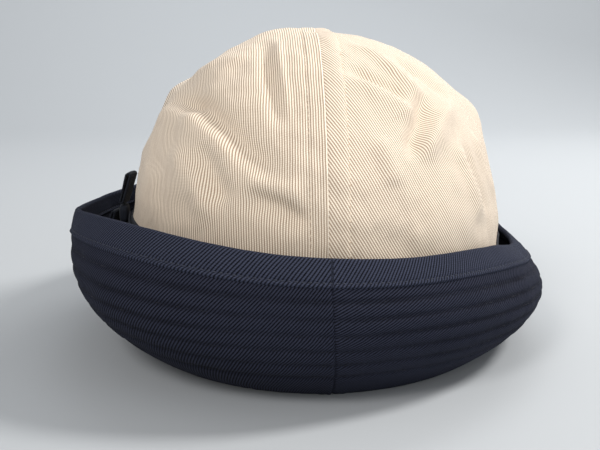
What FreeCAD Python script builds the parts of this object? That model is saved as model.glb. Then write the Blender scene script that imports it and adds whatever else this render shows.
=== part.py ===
"""Soft two-panel twill hat with its quilted brim turned up all round.

Millimetres. +Z is up and +Y is the front of the hat. +X is the wearer's right. The origin is the
centre of the head opening, in the plane that the rolled brim rests on. A depth is measured into
the cloth from its outer face, so a negative depth stands proud of that face.
"""
import FreeCAD, Part
import math
import os

from FreeCAD import Vector

# Crown
CROWN_HALF_WIDTH = 95.0          # at the belly, its widest level
CROWN_HALF_LENGTH = 112.0
CROWN_TOP_Z = 155.0
BELLY_Z = 48.0
DOME_POWER = 2.4                 # 2 is an ellipse, and more makes fuller shoulders
SEAM_SHRINK = 0.10               # how much narrower the crown is at the brim seam
SEAM_Z = 7.5
CROWN_CLOTH = 0.9
SEAM_ALLOWANCE_HALF = 8.0        # topstitching stands this far from the centre seam
TAPE_WIDTH = 12.0
TAPE_THICK = 0.5
TAPE_CLEARANCE = 0.35            # a flat tape stands off the curved cloth at its edges

# Brim: one value for every 45 degrees, from the wearer's right round by the front, left and back
BRIM_OUT = (18.8, 22.4, 28.0, 35.0, 33.2, 32.3, 28.1, 15.5)     # overhang of the edge beyond the foot
BRIM_HIGH = (47.2, 61.0, 69.1, 63.5, 64.1, 75.0, 67.5, 60.0)    # height of the edge above the foot
BRIM_BELLY = (19.0, 9.3, 8.1, 10.0, 10.5, 24.0, 19.3, 21.4)     # bulge of the wall at half height
FOOT_HALF_WIDTH = 88.75
FOOT_SHIFT = -1.25                        # the wall's foot is wider on the wearer's left
FOOT_HALF_LENGTH = 106.9
FOOT_Z = -1.0                             # the roll cuts across the foot, above this level
ROLL_TOP = 7.0                            # height above the foot where the roll joins the wall
ROLL_SHARE = 0.18                         # share of the brim in the roll
ROLL_LOW = (-2.7, -2.3)                   # heights of the two points that pull the roll down
BRIM_CLOTH = 0.6
INTERLINING = 0.5
PLY_GAP = 0.05
FOLD_PINCH = 0.45                         # the layers are pressed this thin in the roll
PINCH_END = 0.36                          # share of the brim where they are back to full size

# Edge binding and quilting
BINDING_TALL = 0.13                       # as a share of the brim
BINDING_CLOTH = 0.65
QUILT_ROWS = 6
QUILT_FIRST = 0.31
QUILT_LAST = 0.80
THREAD_WIDE = 0.012                       # as a share of the brim
THREAD_PROUD = 0.3
THREAD_GAP = 0.03

# Sweatband and the binding over the inside seam
SWEATBAND_THICK = 0.9
SWEATBAND_TALL = 32.0
SWEATBAND_INSET = 2.6
SEAM_BINDING_INSET = 1.2
SEAM_BINDING_THICK = 0.8
SEAM_BINDING_TALL = 9.0
THREAD_DIAMETER = 0.6

# Ribbon round the crown, with its bow on the wearer's left
RIBBON_HALF_WIDE = 6.0
RIBBON_THICK = 1.0
RIBBON_GAP = 0.1
RIBBON_Z = 50.0
RIBBON_TILT = 7.0                         # the ribbon rides this much higher at the knot
KNOT_ANGLE = 186.15
KNOT_SIZE = (5.2, 11.0, 9.8)
KNOT_CENTRE = Vector(-98.4, -12.0, 62.5)
KNOT_ROUND = 1.8
BOW_WIDE = 10.0
BOW_CLOTH = 0.9
UPRIGHT_LOOP = (Vector(-98.3, 0, 69.2), 1.3, Vector(-94.5, 0, 82.2), 1.9)
LOWER_LOOP = (Vector(-102.4, 0, 63.3), 1.1, Vector(-107.2, 0, 46.0), 2.5)
TAIL_START = 189.8
TAIL_END = 207.0
TAIL_Z = 59.5
TAIL_SLOPE = 34.0                         # drop for each radian round the crown
TAIL_GAP = 0.3

STATION_STEP = 10                         # degrees between the stations of a sheet

WIDTH_RATIO = CROWN_HALF_WIDTH / CROWN_HALF_LENGTH
SEAM_HALF_LENGTH = CROWN_HALF_LENGTH * (1 - SEAM_SHRINK)
SEAM_HALF_WIDTH = CROWN_HALF_WIDTH * (1 - SEAM_SHRINK)
BRIM_THICK = 2 * BRIM_CLOTH + INTERLINING + 2 * PLY_GAP
BOW_Y = KNOT_CENTRE.y - BOW_WIDE / 2

nodes = {}


def spline(points):
    """Smooth edge through the points."""
    curve = Part.BSplineCurve()
    curve.interpolate(points)
    return curve.toShape()


def line(start, end):
    return Part.LineSegment(start, end).toShape()


def span(start, end, count):
    """Evenly spaced values with both ends included."""
    return [start + (end - start) * i / (count - 1) for i in range(count)]


def angles(start, end):
    """Stations round the hat in radians, from a start to an end in degrees."""
    count = max(5, int(round((end - start) / STATION_STEP)) + 1)
    return [math.radians(angle) for angle in span(start, end, count)]


def between_sheets(near, far):
    """Closed solid between two smooth sheets, each given by the same grid of points."""
    faces = []
    for grid in (near, far):
        skin = Part.makeLoft([Part.Wire(spline(row)) for row in grid], False, False)
        faces.append(skin.Faces[0])
    same_way = 1
    for first, second in zip(faces[0].Edges, faces[1].Edges):
        faces.append(Part.makeRuledSurface(first, second, same_way))
    shell = Part.makeShell(faces)
    shell.sewShape()
    solid = Part.makeSolid(shell)
    if solid.Volume < 0:
        solid.reverse()
    return solid


# ---------------------------------------------------------------- crown

def belly_share(z):
    """Width of the crown below its belly, as a share of the belly."""
    return 1 - SEAM_SHRINK * ((BELLY_Z - z) / (BELLY_Z - SEAM_Z)) ** 2


def dome_share(z, depth=0.0):
    """Width of the crown at a height, as a share of the belly."""
    if z < BELLY_Z:
        return belly_share(z)
    rise = (z - BELLY_Z) / (CROWN_TOP_Z - depth - BELLY_Z)
    return math.sqrt(max(0.0, 1 - rise ** DOME_POWER))


def crown_section(x, depth, arch=(0, 180)):
    """Points of the crown in the plane of constant x, from front to back over the top."""
    half_length = CROWN_HALF_LENGTH - depth
    side = x / (half_length * WIDTH_RATIO)
    reach = math.sqrt(1 - side ** 2)
    low = []
    for z in span(SEAM_Z, BELLY_Z, 5)[:-1]:
        low.append((half_length * math.sqrt(belly_share(z) ** 2 - side ** 2), z))
    dome = []
    for angle in span(math.radians(arch[0]), math.radians(arch[1]), 25 if arch[1] > 90 else 13):
        rise = (reach * abs(math.sin(angle))) ** (2 / DOME_POWER)
        dome.append((half_length * reach * math.cos(angle), BELLY_Z + (CROWN_TOP_Z - depth - BELLY_Z) * rise))
    points = low + dome
    if arch[1] > 90:
        points += [(-y, z) for y, z in reversed(low)]
    return [Vector(x, y, z) for y, z in points]


def squeeze(shape):
    """Turn a body of revolution about Z into the oval of the head."""
    matrix = FreeCAD.Matrix()
    matrix.A11 = WIDTH_RATIO
    return shape.transformGeometry(matrix)


def crown_panel(side):
    """Half of the crown: side is 1 for the wearer's right and -1 for the left."""
    outer = crown_section(0, 0, (0, 90))
    inner = crown_section(0, CROWN_CLOTH, (0, 90))
    edges = [spline(outer), line(outer[-1], inner[-1]), spline(inner[::-1]), line(inner[0], outer[0])]
    profile = Part.Face(Part.Wire(edges))
    return squeeze(profile.revolve(Vector(0, 0, 0), Vector(0, 0, 1), -180 * side))


def crown_strip(x_low, x_high, near, far):
    """Strip over the crown from front to back, between two depths."""
    x = (x_low + x_high) / 2
    top = crown_section(x, near)
    under = crown_section(x, far)
    edges = [spline(top), line(top[-1], under[-1]), spline(under[::-1]), line(under[0], top[0])]
    strip = Part.Face(Part.Wire(edges)).extrude(Vector(x_high - x_low, 0, 0))
    strip.translate(Vector(x_low - x, 0, 0))
    return strip


def crown_topstitching():
    rows = []
    for side in (-1, 1):
        x = side * SEAM_ALLOWANCE_HALF
        half = THREAD_DIAMETER / 2
        rows.append(crown_strip(x - half, x + half, -THREAD_PROUD - THREAD_GAP, -THREAD_GAP))
    return Part.Compound(rows)


def oval_ring(inner, outer, low, high):
    """Upright band of constant thickness that follows the head opening."""
    corners = [Vector(0, inner, low), Vector(0, outer, low), Vector(0, outer, high), Vector(0, inner, high)]
    profile = Part.Face(Part.makePolygon(corners + corners[:1]))
    return squeeze(profile.revolve(Vector(0, 0, 0), Vector(0, 0, 1), 360))


def sweatband():
    outer = SEAM_HALF_LENGTH - SWEATBAND_INSET
    return oval_ring(outer - SWEATBAND_THICK, outer, SEAM_Z, SEAM_Z + SWEATBAND_TALL)


def sweatband_stitching():
    face = SEAM_HALF_LENGTH - SWEATBAND_INSET - SWEATBAND_THICK - THREAD_GAP
    low = SEAM_Z + 2
    return oval_ring(face - THREAD_PROUD, face, low, low + THREAD_DIAMETER)


def seam_binding():
    outer = SEAM_HALF_LENGTH - SEAM_BINDING_INSET
    return oval_ring(outer - SEAM_BINDING_THICK, outer, SEAM_Z + 0.2, SEAM_Z + 0.2 + SEAM_BINDING_TALL)


# ---------------------------------------------------------------- brim

def station(angle, values):
    """Smooth value round the brim that passes through its evenly spaced values."""
    count = len(values)
    total = sum(values) / count
    for wave in range(1, count // 2 + 1):
        share = (1 if 2 * wave == count else 2) / count
        for place, value in enumerate(values):
            total += share * value * math.cos(wave * (angle - 2 * math.pi * place / count))
    return total


def brim_outward(angle):
    outward = Vector(math.cos(angle) / FOOT_HALF_WIDTH, math.sin(angle) / FOOT_HALF_LENGTH, 0)
    return outward.normalize()


def wall_point(angle, rise):
    """Outer face of the turned-up wall: rise is 0 at its foot and 1 at the edge."""
    x = math.cos(angle) * (FOOT_HALF_WIDTH + FOOT_SHIFT * math.cos(angle))
    foot = Vector(x, FOOT_HALF_LENGTH * math.sin(angle), FOOT_Z)
    out = station(angle, BRIM_OUT) * rise + 4 * station(angle, BRIM_BELLY) * rise * (1 - rise)
    return foot + brim_outward(angle) * out + Vector(0, 0, station(angle, BRIM_HIGH) * rise)


def brim_point(angle, share):
    """Outer face of the brim: share is 0 at the crown seam and 1 at the edge."""
    joint = ROLL_TOP / station(angle, BRIM_HIGH)
    if share >= ROLL_SHARE:
        return wall_point(angle, joint + (1 - joint) * (share - ROLL_SHARE) / (1 - ROLL_SHARE))
    seam = Vector(SEAM_HALF_WIDTH * math.cos(angle), SEAM_HALF_LENGTH * math.sin(angle), SEAM_Z)
    wall = wall_point(angle, joint)
    slope = wall_point(angle, joint + 0.001) - wall
    under_seam = Vector(seam.x, seam.y, ROLL_LOW[0])
    under_wall = wall - slope * ((wall.z - ROLL_LOW[1]) / slope.z)
    u = share / ROLL_SHARE
    inner_half = seam * (1 - u) ** 3 + under_seam * (3 * u * (1 - u) ** 2)
    return inner_half + under_wall * (3 * u ** 2 * (1 - u)) + wall * u ** 3


def pinch(share):
    """Thickness of the layers as a share of their full size, from the roll to the wall."""
    ease = min(1.0, max(0.0, (share - ROLL_SHARE / 2) / (PINCH_END - ROLL_SHARE / 2)))
    return FOLD_PINCH + (1 - FOLD_PINCH) * ease * ease * (3 - 2 * ease)


def brim_depth_point(angle, share, depth):
    """Point inside the brim's thickness, measured square to its outer face."""
    step = 0.002
    low = min(max(share, step), 1 - step)
    along = brim_point(angle, low + step) - brim_point(angle, low - step)
    ring = Vector(-FOOT_HALF_WIDTH * math.sin(angle), FOOT_HALF_LENGTH * math.cos(angle), 0)
    inward = along.cross(ring).normalize()
    return brim_point(angle, share) + inward * (depth * pinch(share))


def ply(low, high, near, far, start, end):
    """One layer of the brim between two shares, two depths and two angles in degrees."""
    shares = span(low, high, 4)
    if high - low > 0.5:
        rolled = span(low, ROLL_SHARE, 9)[:-1]
        eased = span(ROLL_SHARE, PINCH_END, 6)[:-1]
        shares = rolled + eased + span(PINCH_END, high, 9)

    def sheet(depth):
        return [[brim_depth_point(angle, share, depth) for share in shares] for angle in angles(start, end)]

    return between_sheets(sheet(near), sheet(far))


def half_ply(side, low, high, near, far):
    """Left half for side -1, right half for side 1: the halves meet at the front and back."""
    start = -90 if side > 0 else 90
    return ply(low, high, near, far, start, start + 180)


def brim_underside(side):
    """Cloth that shows when the brim is up, with a narrow flat where the roll rests."""
    cloth = half_ply(side, 0, 1, 0, BRIM_CLOTH)
    below = Part.makeBox(400, 400, 10, Vector(-200, -200, -10))
    return cloth.cut(below)


def brim_interlining(side):
    near = BRIM_CLOTH + PLY_GAP
    return half_ply(side, 0, 1, near, near + INTERLINING)


def brim_top(side):
    return half_ply(side, 0, 1, BRIM_THICK - BRIM_CLOTH, BRIM_THICK)


def edge_wrap(angle, lift):
    """Points from the outer face, over the rounded edge and down the inner face of the brim."""
    climb = span(1 - BINDING_TALL, 1, 5)[:-1]
    radius = BRIM_THICK / 2 + lift
    outer = [brim_depth_point(angle, share, -lift) for share in climb]
    inner = [brim_depth_point(angle, share, BRIM_THICK + lift) for share in reversed(climb)]
    edge = brim_depth_point(angle, 1, BRIM_THICK / 2)
    inward = brim_depth_point(angle, 1, BRIM_THICK / 2 + 1) - edge
    ring = Vector(-FOOT_HALF_WIDTH * math.sin(angle), FOOT_HALF_LENGTH * math.cos(angle), 0)
    upward = ring.cross(inward).normalize()
    over = []
    for turn in span(0, math.pi, 7):
        over.append(edge - inward * (radius * math.cos(turn)) + upward * (radius * math.sin(turn)))
    return outer + over + inner


def edge_binding():
    """Strip folded over the brim's edge, with its ends meeting at the back."""
    def sheet(lift):
        return [edge_wrap(angle, lift) for angle in angles(-89.95, 269.95)]

    return between_sheets(sheet(PLY_GAP), sheet(PLY_GAP + BINDING_CLOTH))


def thread_ring(share, face_depth, proud):
    """One row of stitching round the brim, standing proud of a face."""
    half = THREAD_WIDE / 2
    near = face_depth + math.copysign(THREAD_GAP, proud)
    return ply(share - half, share + half, near, near + proud, -89.9, 269.9)


def quilting_thread(face_depth, proud):
    rows = [thread_ring(share, face_depth, proud) for share in span(QUILT_FIRST, QUILT_LAST, QUILT_ROWS)]
    return Part.Compound(rows)


def binding_stitching():
    share = 1 - BINDING_TALL + 0.02
    outer_face = -PLY_GAP - BINDING_CLOTH
    inner_face = BRIM_THICK + PLY_GAP + BINDING_CLOTH
    outer = thread_ring(share, outer_face, -THREAD_PROUD)
    inner = thread_ring(share, inner_face, THREAD_PROUD)
    return Part.Compound([outer, inner])


# ---------------------------------------------------------------- ribbon and bow

def on_crown(angle, z, proud):
    """Point standing proud of the crown's outer face at an angle and a height."""
    share = dome_share(z)
    x = (CROWN_HALF_WIDTH * share + proud) * math.cos(angle)
    y = (CROWN_HALF_LENGTH * share + proud) * math.sin(angle)
    return Vector(x, y, z)


def crown_band(middle, half, near, far, start, end):
    """Flat band on the crown between two angles, with its middle height given by a function."""
    def sheet(proud):
        rows = []
        for angle in angles(start, end):
            heights = span(middle(angle) - half, middle(angle) + half, 5)
            rows.append([on_crown(angle, z, proud) for z in heights])
        return rows

    return between_sheets(sheet(near), sheet(far))


def ribbon_height(angle):
    return RIBBON_Z - RIBBON_TILT * math.cos(angle)


def crown_ribbon():
    far = RIBBON_GAP + RIBBON_THICK
    return crown_band(ribbon_height, RIBBON_HALF_WIDE, RIBBON_GAP, far, KNOT_ANGLE + 0.1, KNOT_ANGLE + 359.9)


def tail_height(angle):
    return TAIL_Z - TAIL_SLOPE * (angle - math.radians(TAIL_START))


def ribbon_tail():
    """Loose end that lies on the ribbon and drops behind the brim."""
    near = RIBBON_GAP + RIBBON_THICK + TAIL_GAP
    return crown_band(tail_height, BOW_WIDE / 2, near, near + BOW_CLOTH, TAIL_START, TAIL_END)


def ribbon_knot():
    corner = KNOT_CENTRE - Vector(*KNOT_SIZE) * 0.5
    box = Part.makeBox(*KNOT_SIZE, corner)
    return box.makeFillet(KNOT_ROUND, box.Edges)


def tapered_outline(first, first_radius, second, second_radius):
    """Face round two circles and their common tangents, in the plane of X and Z."""
    between = second - first
    length = between.Length
    along = between / length
    across = Vector(-along.z, 0, along.x)
    lean = (first_radius - second_radius) / length
    reach = math.sqrt(1 - lean ** 2)
    left = along * lean + across * reach
    right = along * lean - across * reach
    low_end = first - along * first_radius
    low_arc = Part.Arc(first + left * first_radius, low_end, first + right * first_radius)
    top_arc = Part.Arc(second + right * second_radius, second + along * second_radius,
                       second + left * second_radius)
    edges = [
        low_arc.toShape(),
        line(first + right * first_radius, second + right * second_radius),
        top_arc.toShape(),
        line(second + left * second_radius, first + left * first_radius),
    ]
    return Part.Face(Part.Wire(edges))


def bow_loop(spec):
    """Ribbon bent back on itself into a drop-shaped loop, pinched at the knot."""
    first, first_radius, second, second_radius = spec
    outer = tapered_outline(first, first_radius, second, second_radius)
    inner = tapered_outline(first, first_radius - BOW_CLOTH, second, second_radius - BOW_CLOTH)
    loop = outer.cut(inner).extrude(Vector(0, BOW_WIDE, 0))
    loop.translate(Vector(0, BOW_Y, 0))
    return loop


# ---------------------------------------------------------------- assembly

def build():
    for name, side in (("left", -1), ("right", 1)):
        nodes["crown_" + name + "_panel"] = crown_panel(side)
        nodes["brim_underside_" + name] = brim_underside(side)
        nodes["brim_interlining_" + name] = brim_interlining(side)
        nodes["brim_top_" + name] = brim_top(side)
    tape_near = CROWN_CLOTH + TAPE_CLEARANCE
    half_tape = TAPE_WIDTH / 2
    nodes["crown_seam_tape"] = crown_strip(-half_tape, half_tape, tape_near, tape_near + TAPE_THICK)
    nodes["crown_topstitching"] = crown_topstitching()
    nodes["sweatband"] = sweatband()
    nodes["sweatband_stitching"] = sweatband_stitching()
    nodes["seam_binding"] = seam_binding()
    nodes["brim_edge_binding"] = edge_binding()
    nodes["binding_stitching"] = binding_stitching()
    nodes["quilting_thread_underside"] = quilting_thread(0, -THREAD_PROUD)
    nodes["quilting_thread_top"] = quilting_thread(BRIM_THICK, THREAD_PROUD)
    nodes["crown_ribbon"] = crown_ribbon()
    nodes["ribbon_knot"] = ribbon_knot()
    nodes["bow_loop_upright"] = bow_loop(UPRIGHT_LOOP)
    nodes["bow_loop_lower"] = bow_loop(LOWER_LOOP)
    nodes["ribbon_tail"] = ribbon_tail()


def export():
    os.makedirs("parts", exist_ok=True)
    for name, shape in nodes.items():
        box = shape.BoundBox
        print("%-26s %s solids %d volume %9.1f  x %.1f %.1f  y %.1f %.1f  z %.2f %.2f" % (
            name, "valid" if shape.isValid() else "BROKEN", len(shape.Solids), shape.Volume,
            box.XMin, box.XMax, box.YMin, box.YMax, box.ZMin, box.ZMax))
        shape.exportStep("parts/" + name + ".step")


build()
export()
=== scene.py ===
import math

import bmesh
import bpy
import numpy as np
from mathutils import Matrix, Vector


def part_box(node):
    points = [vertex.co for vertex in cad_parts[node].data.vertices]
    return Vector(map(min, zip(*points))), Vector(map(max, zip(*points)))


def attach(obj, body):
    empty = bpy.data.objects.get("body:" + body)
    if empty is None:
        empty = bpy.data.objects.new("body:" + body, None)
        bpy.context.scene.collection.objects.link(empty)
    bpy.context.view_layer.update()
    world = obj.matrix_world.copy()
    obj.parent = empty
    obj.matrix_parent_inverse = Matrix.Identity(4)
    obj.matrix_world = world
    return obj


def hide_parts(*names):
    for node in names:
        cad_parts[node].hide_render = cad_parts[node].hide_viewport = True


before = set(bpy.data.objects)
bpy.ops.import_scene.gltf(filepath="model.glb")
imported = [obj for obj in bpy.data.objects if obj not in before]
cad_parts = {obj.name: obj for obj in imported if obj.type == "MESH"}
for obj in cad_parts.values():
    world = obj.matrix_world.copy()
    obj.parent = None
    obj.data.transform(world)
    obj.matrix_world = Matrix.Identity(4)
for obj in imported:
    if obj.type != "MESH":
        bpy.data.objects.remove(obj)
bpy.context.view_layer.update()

MM = 0.001

# ---------------------------------------------------------------- sizes of the hat, in millimetres


def node_box(node):
    low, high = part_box(node)
    return np.array(low) / MM, np.array(high) / MM


CROWN_LOW, CROWN_HIGH = node_box("crown_right_panel")
CROWN_HALF_WIDTH = CROWN_HIGH[0]
CROWN_HALF_LENGTH = CROWN_HIGH[1]
CROWN_TOP_Z = CROWN_HIGH[2]
SEAM_Z = CROWN_LOW[2]             # of the seam between crown and brim
BELLY_Z = 48.0                    # where the crown is widest
DOME_POWER = 2.4                  # 2 is an ellipse, and more is squarer
SEAM_SHRINK = 0.10                # how much narrower than the belly the seam is, as a share
SEAM_HALF_WIDTH = CROWN_HALF_WIDTH * (1 - SEAM_SHRINK)
SEAM_HALF_LENGTH = CROWN_HALF_LENGTH * (1 - SEAM_SHRINK)
CROWN_CLOTH = 0.9
DOME_SHARE = 0.72                 # share of the crown's section that lies above its belly
TOPSTITCH_X = (-7.5, 9.0)         # the rows of stitching on each side of the centre seam
CROWN_GRID = (250, 190)           # points round half the crown, and from its top to the seam

# The brim's outline has one value for every 45 degrees, from +X round by the front.
BRIM_OUT = (18.8, 22.4, 28.0, 35.0, 33.2, 32.3, 28.1, 15.5)     # from the foot out to the edge
BRIM_HIGH = (47.2, 61.0, 69.1, 63.5, 64.1, 75.0, 67.5, 60.0)    # from the foot up to the edge
BRIM_BELLY = (19.0, 9.3, 8.1, 10.0, 10.5, 24.0, 19.3, 21.4)     # outward bulge between them
FOOT_HALF_WIDTH = 88.75           # of the oval that the brim's wall stands on
FOOT_HALF_LENGTH = 106.9
FOOT_SHIFT = -1.25
FOOT_Z = -1.0
ROLL_TOP = 7.0                    # the roll at the bottom ends this high above the foot
ROLL_SHARE = 0.18                 # share of the brim's section that is in the roll
ROLL_LOW = (-2.7, -2.3)           # heights that pull the roll down, at the seam and at the wall
BRIM_CLOTH = 0.6
BRIM_THICK = 1.8                  # of the two cloths and the interlining together
FOLD_PINCH = 0.45                 # the layers are pressed to this share of their thickness
PINCH_END = 0.36                  # share of the brim's section where that ends
BINDING_TALL = 0.13               # share of the brim's section that the binding covers
BINDING_CLOTH = 0.65
BINDING_GAP = 0.05                # between the binding and the brim's cloth
BINDING_STITCH_UP = 2.3           # from the binding's lower edge to its stitching
BEAD = 0.35                       # height of the rolled bead, and depth of the groove beside it
QUILT_SHARES = np.linspace(0.31, 0.80, 6)
BRIM_LENGTH = 90.0                # from seam to edge, for turning millimetres into shares
FLAT_RADIUS = 760.0               # of the flat brim cloth at the crown seam
BRIM_COLUMNS = 300                # points round half the brim
ROLL_ROWS = 22                    # points up the roll, and up the wall above it
WALL_ROWS = 110

# Mean radii that turn an angle into a length along each ring of cloth.
BRIM_MEAN_RADIUS = 115.0
EDGE_MEAN_RADIUS = 125.0
BAND_MEAN_RADIUS = 95.0

# Stitches: length, gap and radius of the thread.
TOPSTITCH = (2.3, 0.7, 0.26)
TAPE_STITCH = (2.3, 0.7, 0.22)
BAND_STITCH = (2.6, 0.8, 0.25)
QUILT_STITCH = (2.6, 0.6, 0.20)
EDGE_STITCH = (2.0, 0.7, 0.26)

TAPE_HALF = 6.0                   # half the width of the tape inside the crown's seam
TAPE_GAP = 0.15
TAPE_CLOTH = 0.6
BAND_INSET = 2.6                  # of the sweatband from the seam's line
BAND_CLOTH = 0.9
BAND_STITCH_UP = 2.3              # from the sweatband's lower edge to its stitching

# Ribbon: its widths are half widths, and each loop is a drop round two circles, given by their
# centres in x and z and their radii.
RIBBON_HALF = 6.0
RIBBON_Z = 50.0
RIBBON_TILT = 7.0                 # the ribbon lies this much higher at -X, and lower at +X
KNOT_ANGLE = math.radians(186.15)
TAIL_HALF = 5.0
TAIL_ANGLES = (189.8, 207.0)      # degrees
TAIL_Z = 59.5                     # where the tail leaves the knot
TAIL_FALL = 34.0                  # millimetres for each radian round the crown
LOOP_THICK = 0.8
UPRIGHT_LOOP = ((-98.3, 68.9), 0.9, (-94.5, 82.3), 1.3)
UPRIGHT_TWIST = 0.22
LOWER_LOOP = ((-102.2, 63.5), 0.85, (-107.2, 46.0), 2.0)
LOWER_TWIST = 0.3

BACK = math.radians(270)
FRONT = math.radians(90)

# ---------------------------------------------------------------- helpers


def smooth(x, low, high):
    """0 below low, 1 above high, eased between."""
    t = np.clip((x - low) / (high - low), 0, 1)
    return t * t * (3 - 2 * t)


def unit(v):
    return v / np.maximum(np.linalg.norm(v, axis=-1, keepdims=True), 1e-9)


def ripple(points, size, seed, octaves=3):
    """Smooth noise of about +-1 from summed waves: size is the wavelength in millimetres."""
    rng = np.random.RandomState(seed)
    fade = 0.55
    waves = 5
    total = np.zeros(points.shape[:-1])
    weight = 0.0
    for octave in range(octaves):
        amount = fade ** octave
        for _ in range(waves):
            direction = unit(rng.normal(size=3))
            wave = rng.uniform(0.7, 1.4) * 2 * math.pi / (size * 0.5 ** octave)
            total += amount * np.sin(points @ direction * wave + rng.uniform(0, 2 * math.pi))
        weight += amount
    return total / (weight * 2.2)


def bump(x, middle, width):
    """Rounded ridge of height 1 along x = middle."""
    return np.exp(-((x - middle) / width) ** 2)


def new_object(name, vertices, faces, uvs=None, material=None):
    mesh = bpy.data.meshes.new(name)
    mesh.from_pydata([tuple(v) for v in np.asarray(vertices) * MM], [], faces)
    mesh.update()
    if uvs is not None:
        layer = mesh.uv_layers.new(name="cloth")
        corners = np.zeros(len(mesh.loops), int)
        mesh.loops.foreach_get("vertex_index", corners)
        layer.data.foreach_set("uv", (np.asarray(uvs)[corners] * MM).ravel())
    mesh.shade_smooth()
    piece = bpy.data.objects.new(name, mesh)
    bpy.context.collection.objects.link(piece)
    if material:
        mesh.materials.append(material)
    return piece


def weld(piece):
    """Merge points that coincide, as at the top of the crown."""
    mesh = bmesh.new()
    mesh.from_mesh(piece.data)
    bmesh.ops.remove_doubles(mesh, verts=mesh.verts, dist=0.01 * MM)
    bmesh.ops.dissolve_degenerate(mesh, dist=0.002 * MM, edges=mesh.edges)
    mesh.to_mesh(piece.data)
    mesh.free()
    piece.data.shade_smooth()


def grid_faces(rows, columns, start, flip=False):
    faces = []
    for i in range(rows - 1):
        for j in range(columns - 1):
            a = start + i * columns + j
            face = (a, a + 1, a + columns + 1, a + columns)
            faces.append(face[::-1] if flip else face)
    return faces


def slab(name, outer, inner, uv, material):
    """Closed piece of cloth between two grids of points with the same shape."""
    rows, columns = outer.shape[:2]
    count = rows * columns
    vertices = np.concatenate([outer.reshape(-1, 3), inner.reshape(-1, 3)])
    uvs = np.concatenate([uv.reshape(-1, 2), uv.reshape(-1, 2)])
    faces = grid_faces(rows, columns, 0)
    faces += grid_faces(rows, columns, count, flip=True)
    index = np.arange(count).reshape(rows, columns)
    border = list(index[0, :]) + list(index[1:, -1]) + list(index[-1, -2::-1]) + list(index[-2::-1, 0])
    faces += [(a, a + count, b + count, b) for a, b in zip(border, border[1:])]
    return new_object(name, vertices, faces, uvs, material)


def tube(name, grid, uv, material, capped=False):
    """Run of closed sections, which closes on itself or has its two ends capped."""
    rows, columns = grid.shape[:2]
    faces = []
    for i in range(rows - 1 if capped else rows):
        here = i * columns
        ahead = ((i + 1) % rows) * columns
        for j in range(columns):
            beside = (j + 1) % columns
            faces.append((here + j, here + beside, ahead + beside, ahead + j))
    if capped:
        faces.append(tuple(reversed(range(columns))))
        faces.append(tuple((rows - 1) * columns + j for j in range(columns)))
    return new_object(name, grid.reshape(-1, 3), faces, uv.reshape(-1, 2), material)


def cloth_grid(by_row, by_column):
    """Positions on the cloth for a grid: one value per row, and one per column."""
    return np.stack(np.broadcast_arrays(by_row[:, None], by_column[None, :]), -1)


def strip_section(first, second, count, low=-1.0, spare=0.04):
    """Section of a strip with rounded edges: pairs of a level and a place across the strip."""
    steps = np.linspace(low, 1, count)
    middle = (first + second) / 2
    there = [(first, step) for step in steps] + [(middle, 1 + spare)]
    return there + [(second, step) for step in steps[::-1]] + [(middle, low - spare)]


def half_turn(side, count, packing):
    """Angles of the right or left half, with a share of them packed towards the two joins."""
    start = FRONT - math.pi if side > 0 else FRONT
    evenly = np.linspace(0, 1, count)
    packed = 0.5 - 0.5 * np.cos(evenly * math.pi)
    return start + math.pi * (packing * packed + (1 - packing) * evenly)


def ring_angles(count=720):
    """Angles all the way round, from the back to the back again."""
    return np.linspace(-math.pi / 2, 1.5 * math.pi, count + 1)


def arc_lengths(points):
    """Running length along a line of points."""
    steps = np.linalg.norm(np.diff(points, axis=0), axis=-1)
    return np.concatenate([[0], np.cumsum(steps)])


def stitches(name, rows, size, material, sink=0.1):
    """Threads along rows of (points, normals): each stitch is a short arched strand."""
    length, gap, radius = size
    sides = 6
    rings = np.linspace(0, 1, 6)
    thick = np.array([0.35, 0.85, 1.0, 1.0, 0.85, 0.35]) * radius
    lift = np.array([-0.9, 0.0, 0.35, 0.35, 0.0, -0.9]) * radius - sink
    turns = np.linspace(0, 2 * math.pi, sides, endpoint=False)
    vertices = []
    faces = []
    for points, normals in rows:
        run = arc_lengths(points)
        count = int(run[-1] // (length + gap))
        pitch = run[-1] / count
        for k in range(count):
            at = k * pitch + gap / 2 + rings * (pitch - gap)
            centre = np.stack([np.interp(at, run, points[:, c]) for c in range(3)], -1)
            normal = unit(np.stack([np.interp(at, run, normals[:, c]) for c in range(3)], -1))
            along = unit(np.gradient(centre, axis=0))
            side = unit(np.cross(along, normal))
            start = len(vertices)
            for r in range(len(rings)):
                middle = centre[r] + normal[r] * lift[r]
                for turn in turns:
                    offset = side[r] * math.cos(turn) + normal[r] * math.sin(turn)
                    vertices.append(middle + offset * thick[r])
            for r in range(len(rings) - 1):
                for s in range(sides):
                    a = start + r * sides + s
                    b = start + r * sides + (s + 1) % sides
                    faces.append((a, a + sides, b + sides, b))
            faces.append(tuple(start + s for s in range(sides)))
            last = start + (len(rings) - 1) * sides
            faces.append(tuple(last + s for s in reversed(range(sides))))
    return new_object(name, vertices, faces, None, material)


# ---------------------------------------------------------------- crown shape

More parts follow.
